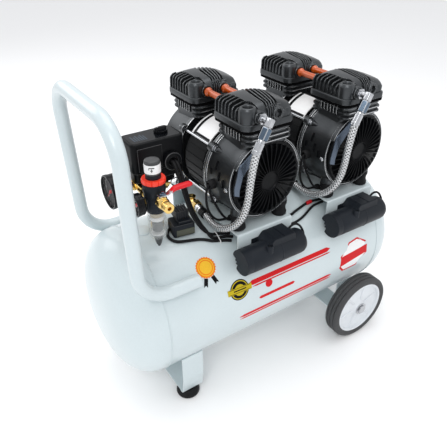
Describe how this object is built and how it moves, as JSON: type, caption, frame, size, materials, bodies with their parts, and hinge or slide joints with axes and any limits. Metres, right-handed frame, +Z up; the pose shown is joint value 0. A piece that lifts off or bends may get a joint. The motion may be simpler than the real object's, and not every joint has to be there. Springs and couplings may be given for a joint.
{
  "type": "portable air compressor",
  "caption": "Portable oil-free air compressor: twin-cylinder motor units on a long horizontal tank with a loop handle, wheels, rubber feet, gauges and a filter regulator.",
  "frame": {"origin": "on the ground, midway along the tank and midway across it", "axes": "+X runs along the tank towards the wheels, -Y is the front with the hoses and capacitors, +Z is up; the handle and the gauges are at -X"},
  "size_m": [0.7098, 0.39, 0.6486],
  "materials": {
    "white_paint": "smooth white enamel with a cool tint",
    "black_rubber": "matte moulded rubber",
    "tyre_rubber": "matte rubber with shallow tread grooves",
    "white_plastic": "satin moulded plastic",
    "dark_casting": "dark metallic paint on a fine cast texture",
    "black_plastic": "moulded black plastic with a soft sheen",
    "piston_aluminium": "machined",
    "lamination_steel": "stacked laminations, varnished",
    "shaft_steel": "turned steel",
    "orange_tube": "orange-brown lacquered tube",
    "plated_steel": "bright nickel and zinc plating",
    "steel_braid": "woven stainless wire",
    "brass": "machined brass",
    "grey_plastic": "ribbed dark grey plastic",
    "clear_plastic": "clear polycarbonate",
    "gauge_black": "glossy black case",
    "red_plastic": "glossy red"
  },
  "bodies": {
    "frame": {"tank": "white_paint", "carry_handle": "white_paint", "foot_bracket": "white_paint", "wheel_bracket": "white_paint", "platform_left": "white_paint", "platform_right": "white_paint", "rubber_foot_front": "black_rubber", "rubber_foot_rear": "black_rubber", "crankcase_left_front": "dark_casting", "cylinder_head_left_front": "dark_casting", "fan_cover_left_front": "black_plastic", "crankcase_left_rear": "dark_casting", "cylinder_head_left_rear": "dark_casting", "fan_cover_left_rear": "black_plastic", "stator_left": "lamination_steel", "transfer_tube_left_a": "orange_tube", "transfer_tube_left_b": "orange_tube", "hose_elbow_left": "plated_steel", "air_hose_left": "steel_braid", "check_valve_left": "brass", "capacitor_housing_left": "black_plastic", "crankcase_right_front": "dark_casting", "cylinder_head_right_front": "dark_casting", "fan_cover_right_front": "black_plastic", "crankcase_right_rear": "dark_casting", "cylinder_head_right_rear": "dark_casting", "fan_cover_right_rear": "black_plastic", "stator_right": "lamination_steel", "transfer_tube_right_a": "orange_tube", "transfer_tube_right_b": "orange_tube", "hose_elbow_right": "plated_steel", "air_hose_right": "steel_braid", "check_valve_right": "brass", "capacitor_housing_right": "black_plastic", "manifold": "brass", "pressure_switch": "black_plastic", "regulator_body": "black_plastic", "regulator_bowl": "clear_plastic", "tank_gauge": "gauge_black", "regulator_gauge": "gauge_black", "ball_valve": "brass", "unloader_valve": "black_plastic", "safety_valve": "brass"},
    "wheel_front": {"tyre_front": "tyre_rubber", "rim_front": "white_plastic"},
    "wheel_rear": {"tyre_rear": "tyre_rubber", "rim_rear": "white_plastic"},
    "rotor_left": {"rotor_left": "shaft_steel"},
    "rotor_right": {"rotor_right": "shaft_steel"},
    "piston_left_front": {"piston_left_front": "piston_aluminium"},
    "piston_left_rear": {"piston_left_rear": "piston_aluminium"},
    "piston_right_front": {"piston_right_front": "piston_aluminium"},
    "piston_right_rear": {"piston_right_rear": "piston_aluminium"},
    "switch_knob": {"switch_knob": "black_plastic"},
    "regulator_knob": {"regulator_knob": "grey_plastic"},
    "lever": {"ball_valve_lever": "red_plastic"},
    "safety_ring": {"safety_valve_ring": "plated_steel"},
    "drain_cock": {"drain_cock": "brass"},
    "tank_needle": {"tank_gauge_needle": "red_plastic"},
    "regulator_needle": {"regulator_gauge_needle": "red_plastic"}
  },
  "joints": [
    {"name": "wheel_front_spin", "type": "hinge", "parent": "frame", "child": "wheel_front", "pos_m": [0.2097, -0.1705, 0.0814], "axis": [0, 1, 0], "continuous": true},
    {"name": "wheel_rear_spin", "type": "hinge", "parent": "frame", "child": "wheel_rear", "pos_m": [0.2097, 0.1705, 0.0814], "axis": [0, 1, 0], "continuous": true},
    {"name": "rotor_left_spin", "type": "hinge", "parent": "frame", "child": "rotor_left", "pos_m": [-0.0375, 0, 0.4695], "axis": [0, 1, 0], "continuous": true},
    {"name": "rotor_right_spin", "type": "hinge", "parent": "frame", "child": "rotor_right", "pos_m": [0.19, 0, 0.4695], "axis": [0, 1, 0], "continuous": true},
    {"name": "piston_left_front_stroke", "type": "slide", "parent": "frame", "child": "piston_left_front", "axis": [0, 0, 1], "range_m": [-0.008, 0.008]},
    {"name": "piston_left_rear_stroke", "type": "slide", "parent": "frame", "child": "piston_left_rear", "axis": [0, 0, 1], "range_m": [-0.008, 0.008]},
    {"name": "piston_right_front_stroke", "type": "slide", "parent": "frame", "child": "piston_right_front", "axis": [0, 0, 1], "range_m": [-0.008, 0.008]},
    {"name": "piston_right_rear_stroke", "type": "slide", "parent": "frame", "child": "piston_right_rear", "axis": [0, 0, 1], "range_m": [-0.008, 0.008]},
    {"name": "switch_knob_turn", "type": "hinge", "parent": "frame", "child": "switch_knob", "pos_m": [-0.185, 0.003, 0.5543], "axis": [0, 0, 1], "range_deg": [0, 90]},
    {"name": "regulator_knob_turn", "type": "hinge", "parent": "frame", "child": "regulator_knob", "pos_m": [-0.242, -0.075, 0.5223], "axis": [0, 0, 1], "range_deg": [-540, 540]},
    {"name": "lever_turn", "type": "hinge", "parent": "frame", "child": "lever", "pos_m": [-0.242, -0.1063, 0.4943], "axis": [0, 0, 1], "range_deg": [-90, 0]},
    {"name": "safety_ring_pull", "type": "slide", "parent": "frame", "child": "safety_ring", "axis": [1, 0, 0], "range_m": [0, 0.003], "stiffness_N_per_m": 2000},
    {"name": "drain_cock_turn", "type": "hinge", "parent": "frame", "child": "drain_cock", "pos_m": [-0.06, 0, 0.045], "axis": [0, 0, 1], "range_deg": [0, 360]},
    {"name": "tank_needle_turn", "type": "hinge", "parent": "frame", "child": "tank_needle", "pos_m": [-0.291, 0, 0.468], "axis": [1, 0, 0], "range_deg": [0, 270], "stiffness_Nm_per_rad": 0.0005},
    {"name": "regulator_needle_turn", "type": "hinge", "parent": "frame", "child": "regulator_needle", "pos_m": [-0.275, -0.075, 0.473], "axis": [1, 0, 0], "range_deg": [0, 270], "stiffness_Nm_per_rad": 0.0005}
  ]
}
